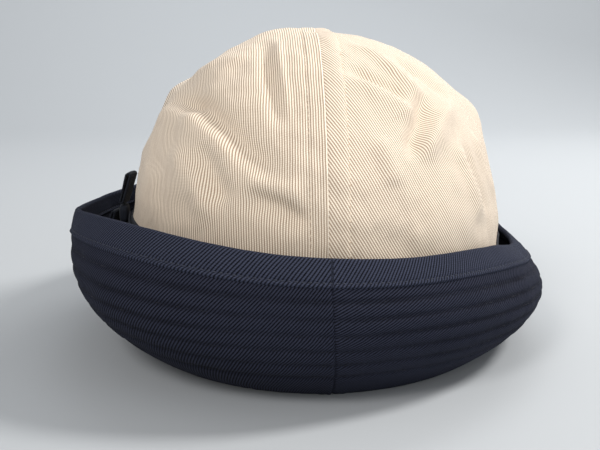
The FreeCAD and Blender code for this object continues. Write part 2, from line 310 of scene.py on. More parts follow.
# Folds of the crown cloth. Each runs through points given by angle round the hat (270 is the back)
# and height, and has a height in millimetres and a width on each side of its line.
FOLDS = [
    ([(199, 151), (231, 146), (241, 140), (247, 133), (251, 127), (254, 120), (256, 113)], -3.4, 6.5, 3.4),
    ([(208, 152), (238, 148), (247, 142), (252, 135), (255, 129), (257, 121), (258, 114)], 2.2, 2.4, 6),
    ([(183, 120), (203, 122), (222, 122), (232, 117), (240, 111), (246, 105), (252, 101), (258, 97)],
     -4.5, 4.4, 6),
    ([(184, 111), (195, 115), (214, 117), (225, 114), (233, 109), (240, 104), (247, 100), (254, 94)],
     3.3, 6, 9),
    ([(214, 101), (223, 96), (230, 89), (235, 81), (238, 72)], 2.6, 6, 8),
    ([(229, 106), (235, 98), (239, 89), (244, 83)], -2.8, 5, 6),
    ([(247, 89), (252, 86), (258, 83), (262, 79), (265, 74)], -3.0, 3, 6),
    ([(245, 93), (252, 91), (259, 89), (263, 85)], 1.7, 5, 6),
    ([(181, 131), (209, 125), (221, 118)], -2.2, 7, 8),
    ([(196, 136), (209, 141), (227, 140)], 1.6, 7, 8),
    ([(290, 148), (301, 144), (305, 137), (309, 129), (311, 124)], 2.9, 4.5, 4.5),
    ([(280, 139), (289, 135), (298, 130), (303, 123)], -2.6, 3.8, 5),
    ([(279, 135), (288, 131), (296, 125), (301, 120), (301, 114)], 2.6, 3.4, 9),
    ([(319, 145), (322, 137), (325, 128), (333, 123)], -2.8, 6, 5),
    ([(331, 122), (314, 116), (305, 108), (298, 99)], 3.4, 6.5, 3.6),
    ([(314, 127), (307, 119), (300, 110), (294, 100)], -3.6, 3.6, 5),
    ([(286, 112), (287, 104), (289, 96), (289, 89)], 1.8, 5, 5),
    ([(315, 106), (317, 98), (318, 88), (320, 76), (322, 68)], 1.9, 4, 4.5),
    ([(321, 105), (322, 97), (324, 88), (326, 77), (328, 68)], -1.9, 4, 4.5),
    ([(332, 109), (331, 99), (333, 87), (342, 72)], 1.7, 4, 4),
    ([(316, 70), (322, 66), (331, 65)], -1.2, 5, 5),
    ([(279, 73), (287, 70), (295, 69)], -0.8, 7, 8),
    # folds of the sides and front
    ([(150, 138), (140, 122), (128, 108), (118, 98)], 2.2, 7, 9),
    ([(158, 128), (148, 112), (135, 98)], -2.0, 6, 8),
    ([(60, 144), (48, 128), (40, 112), (36, 96)], 2.0, 8, 7),
    ([(70, 132), (58, 116), (50, 98)], -1.8, 6, 7),
    ([(20, 128), (12, 112), (6, 92)], 1.5, 8, 8),
    ([(98, 126), (112, 118), (124, 104)], -1.6, 6, 6),
    ([(82, 120), (72, 112), (60, 108)], 1.4, 6, 8),
    ([(170, 92), (160, 80), (150, 70)], 1.3, 8, 8),
]

# Broad bulges and hollows: angle, height, how far they stand out, and their radius.
LUMPS = [
    (180, 153, 2.6, 13), (172, 122, 3.0, 12), (182, 108, -4.0, 9), (176, 133, -2.4, 11), (183, 93, 0.6, 12),
    (359, 111, 4.9, 13), (2, 90, -2.2, 14), (20, 151, -2.2, 16), (0, 55, 3.2, 15), (8, 130, 1.6, 14),
    (290, 154.6, -2.4, 12), (183, 72, -1.8, 12), (84, 152.2, -2.2, 15), (124, 151, 1.4, 11),
    (42, 148.6, -1.8, 14), (152, 142, -1.2, 10),
    (100, 140, 1.5, 22), (60, 100, 1.4, 24), (130, 80, -1.6, 24), (90, 70, 1.2, 26),
]


def dome_share(z):
    rise = np.clip((z - BELLY_Z) / (CROWN_TOP_Z - BELLY_Z), 0, 1)
    low = 1 - SEAM_SHRINK * ((BELLY_Z - z) / (BELLY_Z - SEAM_Z)) ** 2
    return np.where(z < BELLY_Z, low, np.sqrt(np.maximum(0, 1 - rise ** DOME_POWER)))


def crown_base(angle, part):
    """Smooth crown before it folds: part is 0 at the top and 1 at the brim seam."""
    angle, part = np.broadcast_arrays(angle, part)
    tilt = np.clip(part / DOME_SHARE, 0, 1) * math.pi / 2
    down = np.clip((part - DOME_SHARE) / (1 - DOME_SHARE), 0, 1)
    above = part < DOME_SHARE
    high = BELLY_Z + (CROWN_TOP_Z - BELLY_Z) * np.cos(tilt) ** (2 / DOME_POWER)
    z = np.where(above, high, BELLY_Z - (BELLY_Z - SEAM_Z) * down)
    share = np.where(above, np.sin(tilt), 1 - SEAM_SHRINK * down ** 2)
    x = CROWN_HALF_WIDTH * share * np.cos(angle)
    y = CROWN_HALF_LENGTH * share * np.sin(angle)
    return np.stack([x, y, z], -1)


def crown_part(z):
    """The part of the crown's section at a height."""
    rise = np.clip((z - BELLY_Z) / (CROWN_TOP_Z - BELLY_Z), 0, 1)
    above = DOME_SHARE * np.arccos(rise ** (DOME_POWER / 2)) / (math.pi / 2)
    below = DOME_SHARE + (1 - DOME_SHARE) * (BELLY_Z - z) / (BELLY_Z - SEAM_Z)
    return np.where(z < BELLY_Z, below, above)


def crown_spot(degrees, z):
    """Point of the smooth crown at an angle and a height."""
    return crown_base(math.radians(degrees), crown_part(np.array(float(z))))


def crown_normal(points):
    """Outward direction of the smooth crown."""
    x, y, z = points[..., 0], points[..., 1], points[..., 2]
    rise = np.clip((z - BELLY_Z) / (CROWN_TOP_Z - BELLY_Z), 0, 1)
    up = 0.5 * DOME_POWER * rise ** (DOME_POWER - 1) / (CROWN_TOP_Z - BELLY_Z)
    down = np.clip((BELLY_Z - z) / (BELLY_Z - SEAM_Z), 0, 1)
    up = up - 2 * SEAM_SHRINK * down / (BELLY_Z - SEAM_Z)
    return unit(np.stack([x / CROWN_HALF_WIDTH ** 2, y / CROWN_HALF_LENGTH ** 2, up], -1))


def fold_height(points, normals, fold):
    """Height of one fold over the crown: a ridge with its own width on each side."""
    route, height, wide_left, wide_right = fold
    fade = (-0.02, 0.28)          # shares of its length over which a fold rises from each end
    line = [crown_spot(degrees, z) for degrees, z in route]
    flat = points.reshape(-1, 3)
    best = np.full(len(flat), 1e9)
    side = np.zeros(len(flat))
    progress = np.zeros(len(flat))
    spans = len(line) - 1
    for k in range(spans):
        start, end = line[k], line[k + 1]
        along = end - start
        t = np.clip((flat - start) @ along / (along @ along), 0, 1)
        gap = flat - (start + t[:, None] * along)
        distance = np.linalg.norm(gap, axis=1)
        closer = distance < best
        aside = np.cross(np.broadcast_to(along, gap.shape), gap)
        turn = np.einsum("ij,ij->i", aside, normals.reshape(-1, 3))
        best = np.where(closer, distance, best)
        side = np.where(closer, turn, side)
        progress = np.where(closer, (k + t) / spans, progress)
    width = np.where(side > 0, wide_left, wide_right)
    ends = smooth(progress, *fade) * smooth(1 - progress, *fade)
    return (height * bump(best, 0, width) * ends).reshape(points.shape[:-1])


def seam_height(points):
    """The centre seam: lapped edge, raised allowance and sunk topstitching."""
    x = points[..., 0]
    top = smooth(points[..., 2], 60, 150)
    left_row, right_row = TOPSTITCH_X
    allowance = 0.45 * smooth(x, left_row - 1, left_row + 1) * smooth(-x, -right_row - 1, -right_row + 1)
    lap = 0.22 * bump(x, -0.9, 0.8)
    gutter = -0.25 * bump(x, 0.2, 0.4)
    inner_edge = 0.5 * smooth(x, -15.6, -14.2) * smooth(-x, 3, 14) * (1 - 0.8 * top)
    rows = -0.38 * (bump(x, left_row, 0.7) + bump(x, right_row, 0.8))
    band = 0.8 * top * bump(x, 5.0, 4.5)
    beside = bump(x, left_row, 3.0) + bump(x, right_row, 3.0)
    pucker = 0.16 * ripple(points * np.array([0.35, 1, 1]), 8, 5) * beside
    return allowance + inner_edge + lap + gutter + rows + band + pucker


def crown_lift(points, normals):
    """How far the crown's cloth stands from its smooth shape."""
    lift = seam_height(points)
    for fold in FOLDS:
        lift = lift + fold_height(points, normals, fold)
    for degrees, z, height, radius in LUMPS:
        gap = np.linalg.norm(points - crown_spot(degrees, z), axis=-1)
        lift = lift + height * bump(gap, 0, radius)
    calm = smooth(points[..., 2], SEAM_Z, SEAM_Z + 25)
    lift = lift + calm * (0.9 * ripple(points, 75, 11) + 0.35 * ripple(points, 24, 12))
    return lift


def crown_sheet(angle, part, depth=0.0):
    """Points of the crown's folded cloth at a depth below its outer face."""
    base = crown_base(angle, part)
    normals = crown_normal(base)
    return base + normals * (crown_lift(base, normals) - depth)[..., None]


def crown_cloth_map(points):
    """Position on the cloth: distance from the centre seam, and distance along it."""
    x, y, z = points[..., 0], points[..., 1], points[..., 2]
    height = CROWN_TOP_Z - BELLY_Z
    spare = 2.0                   # keeps the map smooth at the widest points
    across = np.arcsin(np.clip(x / (CROWN_HALF_WIDTH + spare), -1, 1))
    along = np.arctan2(z - BELLY_Z, y * height / CROWN_HALF_LENGTH)
    along = np.where(along < -math.pi / 2, along + 2 * math.pi, along)
    return np.stack([across * CROWN_HALF_WIDTH, along * height], -1)


def crown_panel(name, side, material):
    columns, rows = CROWN_GRID
    angles = half_turn(side, columns, 0.35)
    parts = np.linspace(0, 1, rows)
    outer = crown_sheet(angles[:, None], parts[None, :])
    inner = crown_sheet(angles[:, None], parts[None, :], CROWN_CLOTH)
    uv = crown_cloth_map(crown_base(angles[:, None], parts[None, :]))
    piece = slab(name, outer[:, ::-1], inner[:, ::-1], uv[:, ::-1], material)
    weld(piece)
    return piece


# ---------------------------------------------------------------- brim shape


def station(angle, values):
    """Smooth value round the brim that passes through its evenly spaced values."""
    count = len(values)
    total = np.full(np.shape(angle), sum(values) / count)
    for wave in range(1, count // 2 + 1):
        share = (1 if 2 * wave == count else 2) / count
        for k, value in enumerate(values):
            total = total + share * value * np.cos(wave * (angle - 2 * math.pi * k / count))
    return total


def wall_point(angle, rise):
    outward = unit(np.stack([np.cos(angle) / FOOT_HALF_WIDTH, np.sin(angle) / FOOT_HALF_LENGTH,
                             0 * angle], -1))
    x = np.cos(angle) * (FOOT_HALF_WIDTH + FOOT_SHIFT * np.cos(angle))
    foot = np.stack([x, FOOT_HALF_LENGTH * np.sin(angle), FOOT_Z + 0 * angle], -1)
    out = station(angle, BRIM_OUT) * rise + 4 * station(angle, BRIM_BELLY) * rise * (1 - rise)
    high = station(angle, BRIM_HIGH) * rise
    return foot + outward * out[..., None] + high[..., None] * np.array([0, 0, 1.0])


def brim_base(angle, share):
    """Outer face of the smooth brim: share is 0 at the crown seam and 1 at the edge."""
    angle, share = np.broadcast_arrays(np.asarray(angle, float), np.asarray(share, float))
    joint = ROLL_TOP / station(angle, BRIM_HIGH)
    upper = wall_point(angle, joint + (1 - joint) * (share - ROLL_SHARE) / (1 - ROLL_SHARE))
    seam = np.stack([SEAM_HALF_WIDTH * np.cos(angle), SEAM_HALF_LENGTH * np.sin(angle),
                     SEAM_Z + 0 * angle], -1)
    wall = wall_point(angle, joint)
    slope = wall_point(angle, joint + 0.001) - wall
    under_seam = seam.copy()
    under_seam[..., 2] = ROLL_LOW[0]
    under_wall = wall - slope * ((wall[..., 2:] - ROLL_LOW[1]) / slope[..., 2:])
    u = (np.clip(share / ROLL_SHARE, 0, 1))[..., None]
    roll = seam * (1 - u) ** 3 + under_seam * (3 * u * (1 - u) ** 2)
    roll = roll + under_wall * (3 * u ** 2 * (1 - u)) + wall * u ** 3
    return np.where(share[..., None] < ROLL_SHARE, roll, upper)


def brim_frame(angle, share):
    """Point, direction up the brim and direction into the cloth."""
    step = 0.002
    low = np.clip(share, step, 1 - step)
    along = unit(brim_base(angle, low + step) - brim_base(angle, low - step))
    angle = np.broadcast_to(angle, along.shape[:-1])
    ring = np.stack([-FOOT_HALF_WIDTH * np.sin(angle), FOOT_HALF_LENGTH * np.cos(angle), 0 * angle], -1)
    return brim_base(angle, share), along, unit(np.cross(along, ring))


def pinch(share):
    """Share of its full thickness that the brim has: it is pressed thin in the roll."""
    return FOLD_PINCH + (1 - FOLD_PINCH) * smooth(share, ROLL_SHARE / 2, PINCH_END)


def quilt_pull(points, share):
    """How far each row of quilting draws the two faces together."""
    pull = np.zeros(np.broadcast(points[..., 0], share).shape)
    for row in QUILT_SHARES:
        away = (share - row) * BRIM_LENGTH
        pull = pull + 0.60 * bump(away, 0, 1.3)
        pull = pull + 0.24 * bump(away, 0, 3.0) * (1 + ripple(points, 9, 21, 2))
    return pull


def brim_sway(points, share):
    """Slow waves of the whole brim, outwards."""
    loose = smooth(share, 0.15, 0.6)
    return loose * (0.8 * ripple(points, 120, 31, 2) + 0.22 * ripple(points, 28, 32, 2))


def seam_lean(angle, share):
    """The back join leans: its foot stands a little to the right and its edge to the left."""
    return (0.025 - 0.035 * share) * bump(angle, BACK, 0.7)


def brim_join(x):
    """Back and front joins of the brim: one edge laps over the other."""
    lap = 0.35 * bump(x, -0.9, 0.9)
    gutter = -0.75 * bump(x, 0.1, 0.4)
    allowance = 0.2 * smooth(x, -7, -5) * smooth(-x, -7, -5)
    return lap + gutter + allowance


def brim_sheet(angle, share, depth, side=0):
    """Points of the quilted brim. Side is 1 on the outer face, -1 on the inner face, 0 between."""
    across = brim_base(angle, share)[..., 0]
    turned = np.mod(angle, 2 * math.pi) + 0 * share
    base, _, inward = brim_frame(angle + seam_lean(turned, share), share)
    share = np.broadcast_to(share, base.shape[:-1])
    sway = -brim_sway(base, share)
    draw = side * quilt_pull(base, share)
    if side > 0:
        draw = draw - brim_join(across) * smooth(share, 0.02, 0.1)
    points = base + inward * (depth * pinch(share) + sway + draw)[..., None]
    above_floor = 0.02
    points[..., 2] = np.maximum(points[..., 2], above_floor + depth * FOLD_PINCH)
    return points


def brim_cloth_map(angle, share):
    """Position on the cloth, as if the brim lay flat as part of a ring."""
    around = (np.asarray(angle) - BACK) * BRIM_MEAN_RADIUS / FLAT_RADIUS
    reach = FLAT_RADIUS + np.asarray(share) * BRIM_LENGTH
    around, reach = np.broadcast_arrays(around, reach)
    return np.stack([reach * np.sin(around), reach * np.cos(around)], -1)


def brim_half(name, side, near, far, faces, material):
    """Left or right half of one layer, between two depths: faces says which face each one is."""
    angles = half_turn(side, BRIM_COLUMNS, 0.25)
    shares = np.concatenate([np.linspace(0, ROLL_SHARE, ROLL_ROWS)[:-1],
                             np.linspace(ROLL_SHARE, 1, WALL_ROWS)])
    outer = brim_sheet(angles[:, None], shares[None, :], near, faces[0])
    inner = brim_sheet(angles[:, None], shares[None, :], far, faces[1])
    # The map is cut at the front, where the left half's first points count with the right half's.
    past_front = np.where(angles > FRONT + 1e-6, angles, angles + 2 * math.pi)
    uv = brim_cloth_map(past_front[:, None], shares[None, :])
    return slab(name, outer, inner, uv, material)


def swayed_ring(angles, share, depth):
    """Ring of points at a depth under the smooth outer face, and the direction into the cloth."""
    shares = np.full_like(angles, share)
    base, _, inward = brim_frame(angles, shares)
    return base + inward * (depth - brim_sway(base, shares))[:, None], inward


def edge_relief(share):
    """The binding's lower edge: a rolled bead, the groove of the stitching and the tucked end."""
    away = (share - (1 - BINDING_TALL)) * BRIM_LENGTH
    bead = BEAD * (bump(away, 0.9, 0.8) - bump(away, BINDING_STITCH_UP, 0.6))
    return bead - 0.5 * bump(away, 0, 0.35)


def edge_wrap(angles, lift):
    """Rings from the outer face of the brim, over its edge and down the inner face."""
    climb = np.linspace(1 - BINDING_TALL, 1, 22)[:-1]
    radius = BRIM_THICK / 2
    rings = []
    for side, shares, seed in ((1, climb, 41), (-1, climb[::-1], 42)):
        for share in shares:
            ring, inward = swayed_ring(angles, share, radius - side * (radius + lift))
            spot = brim_base(angles, np.full_like(angles, share))
            pucker = 1 + 0.35 * ripple(spot, 5, seed, 2)
            rings.append(ring - side * inward * (edge_relief(share) * pucker)[:, None])
        if side > 0:
            rings += rounded_edge(angles, radius, lift)
    return np.stack(rings, 1)


def rounded_edge(angles, radius, lift):
    """Half round of rings over the brim's edge."""
    centre, inward = swayed_ring(angles, 1, radius)
    along = brim_frame(angles, np.ones_like(angles))[1]
    size = radius + lift
    return [centre - inward * (size * math.cos(turn)) + along * (size * math.sin(turn))
            for turn in np.linspace(0, math.pi, 15)]


def edge_binding(material):
    """Strip of cloth folded over the brim's edge."""
    angles = ring_angles()[:-1]
    outer = edge_wrap(angles, BINDING_GAP + BINDING_CLOTH)
    inner = edge_wrap(angles, 0.03)
    loop = np.concatenate([outer, inner[:, ::-1]], 1)
    across = arc_lengths(outer[0])
    uv = cloth_grid(angles * EDGE_MEAN_RADIUS, np.concatenate([across, across[::-1]]))
    return tube("edge_binding", loop, uv, material)


def brim_row(share, depth, side):
    """A line of points and outward normals for one row of stitching."""
    angles = ring_angles()
    shares = np.full_like(angles, share)
    points = brim_sheet(angles, shares, depth, side)
    _, _, inward = brim_frame(angles, shares)
    return points, -side * inward


# ---------------------------------------------------------------- materials


class Nodes:
    """Small helper for building a material's node tree."""

    def __init__(self, name):
        self.material = bpy.data.materials.new(name)
        self.material.use_nodes = True
        self.tree = self.material.node_tree
        self.shader = self.tree.nodes["Principled BSDF"]

    def add(self, kind, **settings):
        node = self.tree.nodes.new(kind)
        for key, value in settings.items():
            setattr(node, key, value)
        return node

    def link(self, source, target):
        self.tree.links.new(source, target)

    def math(self, operation, a, b=None, c=None, clamp=False):
        node = self.add("ShaderNodeMath", operation=operation, use_clamp=clamp)
        for socket, value in zip(node.inputs, (a, b, c)):
            if value is None:
                continue
            if isinstance(value, (int, float)):
                socket.default_value = value
            else:
                self.link(value, socket)
        return node.outputs[0]

    def wave(self, phase, kind="SINE"):
        """Wave between 0 and 1."""
        return self.math("MULTIPLY_ADD", self.math(kind, phase), 0.5, 0.5)

    def cloth(self):
        """Position on the cloth."""
        return self.add("ShaderNodeUVMap", uv_map="cloth").outputs[0]

    def spot(self):
        """Position in the hat's frame."""
        return self.add("ShaderNodeTexCoord").outputs["Object"]

    def split(self, vector):
        node = self.add("ShaderNodeSeparateXYZ")
        self.link(vector, node.inputs[0])
        return node.outputs

    def noise(self, vector, scale, detail=3.0, roughness=0.55):
        node = self.add("ShaderNodeTexNoise")
        node.inputs["Scale"].default_value = scale
        node.inputs["Detail"].default_value = detail
        node.inputs["Roughness"].default_value = roughness
        self.link(vector, node.inputs["Vector"])
        return node.outputs["Fac"]

    def mix(self, factor, a, b):
        node = self.add("ShaderNodeMix", data_type="RGBA")
        if isinstance(factor, (int, float)):
            node.inputs[0].default_value = factor
        else:
            self.link(factor, node.inputs[0])
        for socket, value in ((node.inputs[6], a), (node.inputs[7], b)):
            if isinstance(value, tuple):
                socket.default_value = value + (1.0,)
            else:
                self.link(value, socket)
        return node.outputs[2]

    def surface(self, colour, rough, height, strength, height_mm, sheen, specular):
        """Join the colour, roughness and relief to the shader, and give back the material."""
        bump_node = self.add("ShaderNodeBump")
        bump_node.inputs["Strength"].default_value = strength
        bump_node.inputs["Distance"].default_value = height_mm * MM
        self.link(height, bump_node.inputs["Height"])
        self.link(bump_node.outputs[0], self.shader.inputs["Normal"])
        self.link(colour, self.shader.inputs["Base Color"])
        self.link(rough, self.shader.inputs["Roughness"])
        self.shader.inputs["Sheen Weight"].default_value = sheen
        self.shader.inputs["Specular IOR Level"].default_value = specular
        return self.material


def quilt_row_painted_shade(n, cloth):
    """Painted shade along the quilting rows: the cloth's colour is darkened in the grooves, more in some
    spots than in others.
    """
    length = n.add("ShaderNodeVectorMath", operation="LENGTH")
    n.link(cloth, length.inputs[0])
    reach = n.math("SUBTRACT", length.outputs["Value"], FLAT_RADIUS * MM)
    share = n.math("DIVIDE", reach, BRIM_LENGTH * MM)
    first = float(QUILT_SHARES[0])
    last = float(QUILT_SHARES[-1])
    row_gap = float(QUILT_SHARES[1]) - first
    turn = n.math("MULTIPLY", n.math("SUBTRACT", share, first), 2 * math.pi / row_gap)
    groove = n.math("POWER", n.wave(turn, "COSINE"), 2.5)
    above = n.math("GREATER_THAN", share, first - row_gap / 2)
    below = n.math("LESS_THAN", share, last + row_gap / 2)
    groove = n.math("MULTIPLY", groove, n.math("MULTIPLY", above, below))
    # painted shade in the grooves: noise sets how dark it gets, and in a few spots it lightens them a
    # little instead
    painted_shade_depth = n.math("MULTIPLY_ADD", n.noise(cloth, 24, 2), -1.4, 0.3)
    return n.math("MULTIPLY_ADD", groove, painted_shade_depth, 1.0)


def twill(name, angle, pitch_mm, ridge, valley, tint, relief_mm=0.12, sheen=0.15, specular=0.25,
          grain=(2600, 0.25), painted_row_shade=False):
    """Diagonal ribs of twisted yarn: angle is from the cloth's first axis to the ribs, in degrees."""
    n = Nodes(name)
    cloth = n.cloth()
    spot = n.spot()
    turned = n.add("ShaderNodeVectorRotate", rotation_type="Z_AXIS")
    turned.inputs["Angle"].default_value = math.radians(-angle)
    n.link(cloth, turned.inputs["Vector"])
    split = n.split(turned.outputs[0])
    wander = n.math("MULTIPLY", n.math("SUBTRACT", n.noise(spot, 55, 2), 0.5), 0.0008)
    across = n.math("ADD", split[1], wander)
    phase = n.math("MULTIPLY", across, 2 * math.pi / (pitch_mm * MM))
    rib = n.wave(phase)
    twist = n.math("MULTIPLY", split[0], 2 * math.pi / (0.75 * pitch_mm * MM))
    yarn = n.wave(n.math("ADD", twist, n.math("MULTIPLY", phase, 0.5)))
    fineness, strength = grain
    fibre = n.noise(spot, fineness, 2, 0.7)
    body = n.math("MULTIPLY", rib, n.math("MULTIPLY_ADD", yarn, 0.36, 0.68))
    body = n.math("MULTIPLY_ADD", fibre, strength, n.math("SUBTRACT", body, strength / 2), clamp=True)
    # painted shade: the colour is darkened along the brim's quilting rows
    if painted_row_shade:
        body = n.math("MULTIPLY", body, quilt_row_painted_shade(n, cloth), clamp=True)
    colour = n.mix(n.math("POWER", body, 0.8), valley, ridge)
    patch = n.noise(spot, 22, 4, 0.6)
    worn = n.math("MULTIPLY", n.math("SUBTRACT", patch, 0.35, clamp=True), 0.9, clamp=True)
    colour = n.mix(worn, colour, n.mix(0.22, colour, tint))
    rough = n.math("MULTIPLY_ADD", body, -0.08, 0.89)
    return n.surface(colour, rough, body, 0.9, relief_mm, sheen, specular)


def plain_weave(name, yarn_mm, colour, dark, rough=0.93, sheen=0.1, ribbed=False, specular=0.25):
    """Plain cloth, or a ribbed ribbon when only one direction carries the ribs."""
    n = Nodes(name)
    spot = n.spot()
    split = n.split(n.cloth())
    rate = 2 * math.pi / (yarn_mm * MM)
    weave = n.wave(n.math("MULTIPLY", split[0], rate))
    if not ribbed:
        weft = n.wave(n.math("MULTIPLY", split[1], rate))
        weave = n.math("MULTIPLY", weave, weft)
    fibre = n.noise(spot, 2400, 2, 0.7)
    body = n.math("MULTIPLY_ADD", fibre, 0.3, n.math("MULTIPLY", weave, 0.8), clamp=True)
    tone = n.noise(spot, 30, 3)
    shade = n.mix(n.math("MULTIPLY", tone, 0.35), n.mix(body, dark, colour), dark)
    return n.surface(shade, n.math("MULTIPLY_ADD", body, -0.1, rough), body, 0.8, 0.1, sheen, specular)


def thread(name, colour, dark):
    n = Nodes(name)
    spot = n.spot()
    twist = n.noise(spot, 3200, 2, 0.6)
    tone = n.noise(spot, 60, 2)
    shade = n.mix(n.math("MULTIPLY", tone, 0.4), n.mix(twist, dark, colour), dark)
    return n.surface(shade, n.math("MULTIPLY_ADD", twist, 0.2, 0.6), twist, 0.6, 0.05, 0.05, 0.15)


# Colours of the ribs, of the valleys between them, and of worn patches.
CREAM = ((0.97, 0.875, 0.735), (0.28, 0.185, 0.12), (0.74, 0.60, 0.46))
NAVY = ((0.030, 0.034, 0.057), (0.0010, 0.0010, 0.0019), (0.020, 0.024, 0.039))
BINDING = ((0.044, 0.051, 0.083),) + NAVY[1:]
MATT = {"relief_mm": 0.15, "sheen": 0.0, "specular": 0.07}

cream_left = twill("cream_twill_left", 90, 1.12, *CREAM)
cream_right = twill("cream_twill_right", 58, 1.14, *CREAM)
# the navy brim cloths get painted shade along their quilting rows
navy_left = twill("navy_twill_left", 56, 1.12, *NAVY, grain=(1500, 0.7), painted_row_shade=True, **MATT)
navy_right = twill("navy_twill_right", 34, 1.22, *NAVY, grain=(1500, 0.7), painted_row_shade=True, **MATT)
navy_bias = twill("navy_binding_twill", 56, 1.30, *BINDING, grain=(1500, 0.6), **MATT)
grosgrain = plain_weave("black_grosgrain", 0.95, (0.018, 0.023, 0.036), (0.004, 0.005, 0.008), rough=0.80,
                        sheen=0.05, ribbed=True, specular=0.15)
band_cotton = plain_weave("sweatband_cotton", 0.7, (0.055, 0.06, 0.085), (0.012, 0.014, 0.022))
tape_cotton = plain_weave("cream_tape_cotton", 0.6, (0.80, 0.71, 0.58), (0.50, 0.40, 0.29))
interlining_cotton = plain_weave("interlining_cotton", 0.8, (0.60, 0.60, 0.57), (0.35, 0.35, 0.33))
cream_thread = thread("cream_thread", (0.90, 0.80, 0.66), (0.55, 0.42, 0.30))
navy_thread = thread("navy_thread", (0.012, 0.014, 0.025), (0.003, 0.003, 0.006))
binding_thread = thread("binding_thread", (0.055, 0.062, 0.09), (0.015, 0.017, 0.026))


# ---------------------------------------------------------------- pieces


def place(piece, slot, *nodes):
    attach(piece, "root")
    if nodes:
        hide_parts(*nodes)


def topstitch_row(x):
    """Line of points and normals over the crown beside its centre seam, from back to front."""
    reach = x / CROWN_HALF_WIDTH
    z_top = BELLY_Z + (CROWN_TOP_Z - BELLY_Z) * (1 - reach ** 2) ** (1 / DOME_POWER)
    below = np.linspace(SEAM_Z + 1, BELLY_Z, 30)[:-1]
    climb = np.sin(np.linspace(0, math.pi / 2, 200)) ** 0.83
    heights = np.concatenate([below, BELLY_Z + (z_top - BELLY_Z) * climb])
    share = np.maximum(dome_share(heights), abs(reach) + 1e-6)
    back = -np.arccos(np.clip(reach / share, -1, 1))
    angles = np.concatenate([back, -back[::-1][1:]])
    heights = np.concatenate([heights, heights[::-1][1:]])
    base = crown_base(angles, crown_part(heights))
    normals = crown_normal(base)
    return base + normals * crown_lift(base, normals)[:, None], normals


def make_crown():
    place(crown_panel("crown_left", -1, cream_left), "cream_twill", "crown_left_panel")
    place(crown_panel("crown_right", 1, cream_right), "cream_twill", "crown_right_panel")
    rows = [topstitch_row(x) for x in TOPSTITCH_X]
    place(stitches("crown_topstitching", rows, TOPSTITCH, cream_thread), "cream_thread",
          "crown_topstitching")


def make_crown_inside():
    """Tape over the inside of the centre seam, stitched along both edges."""
    across = np.linspace(-TAPE_HALF, TAPE_HALF, 9)
    reach = across[None, :] / CROWN_HALF_WIDTH
    swing = np.linspace(-1, 1, 181)[:, None] * math.pi / 2
    y = np.sqrt(1 - reach ** 2) * np.sin(swing)
    share = np.minimum(np.hypot(reach, y), 1)
    angles = np.where(share > 1e-6, np.arctan2(y, reach), 0)
    parts = DOME_SHARE * np.arcsin(share) / (math.pi / 2)
    near = crown_sheet(angles, parts, CROWN_CLOTH + TAPE_GAP)
    far = crown_sheet(angles, parts, CROWN_CLOTH + TAPE_GAP + TAPE_CLOTH)
    run = arc_lengths(near[:, len(across) // 2])
    uv = cloth_grid(run, across)[..., ::-1]
    tape = slab("crown_seam_tape", near, far, uv, tape_cotton)
    place(tape, "cotton_tape", "crown_seam_tape")
    rows = [(far[:, column], -crown_normal(far[:, column])) for column in (1, -2)]
    place(stitches("crown_tape_stitching", rows, TAPE_STITCH, cream_thread, sink=0.05), "cream_thread")


def opening_ring(angles, inset, z):
    """Level ring of points inside the head opening, and its outward normals."""
    half_length = SEAM_HALF_LENGTH - inset
    half_width = half_length * CROWN_HALF_WIDTH / CROWN_HALF_LENGTH
    ring = np.stack([half_width * np.cos(angles), half_length * np.sin(angles), z + 0 * angles], -1)
    return ring, unit(ring * np.array([1 / half_width ** 2, 1 / half_length ** 2, 0]))


def oval_band(name, inset, thick, material, wave=0.0):
    """Upright band inside the head opening, as tall as its node, with rounded edges."""
    low, high = node_box(name)
    angles = ring_angles(360)[:-1]
    rings = []
    for inward, rise in strip_section(0, 1, 16, low=0, spare=0.02):
        ring, normal = opening_ring(angles, inset, low[2] + (high[2] - low[2]) * rise)
        sway = wave * rise * ripple(ring * np.array([1, 1, 0.4]), 60, 51, 2)
        rings.append(ring + normal * (sway - thick * inward)[:, None])
    grid = np.stack(rings, 1)
    uv = cloth_grid(angles * BAND_MEAN_RADIUS, arc_lengths(grid[0]))
    return tube(name, grid[:, ::-1], uv[:, ::-1], material)


def make_sweatband():
    band = oval_band("sweatband", BAND_INSET, BAND_CLOTH, band_cotton, wave=0.8)
    place(band, "sweatband", "sweatband")
    stitch_z = node_box("sweatband")[0][2] + BAND_STITCH_UP
    ring, normal = opening_ring(ring_angles(360), BAND_INSET + BAND_CLOTH, stitch_z)
    place(stitches("sweatband_stitching", [(ring, -normal)], BAND_STITCH, navy_thread), "navy_thread",
          "sweatband_stitching")
    binding = oval_band("seam_binding", inset=1.2, thick=0.8, material=tape_cotton)
    place(binding, "cotton_tape", "seam_binding")


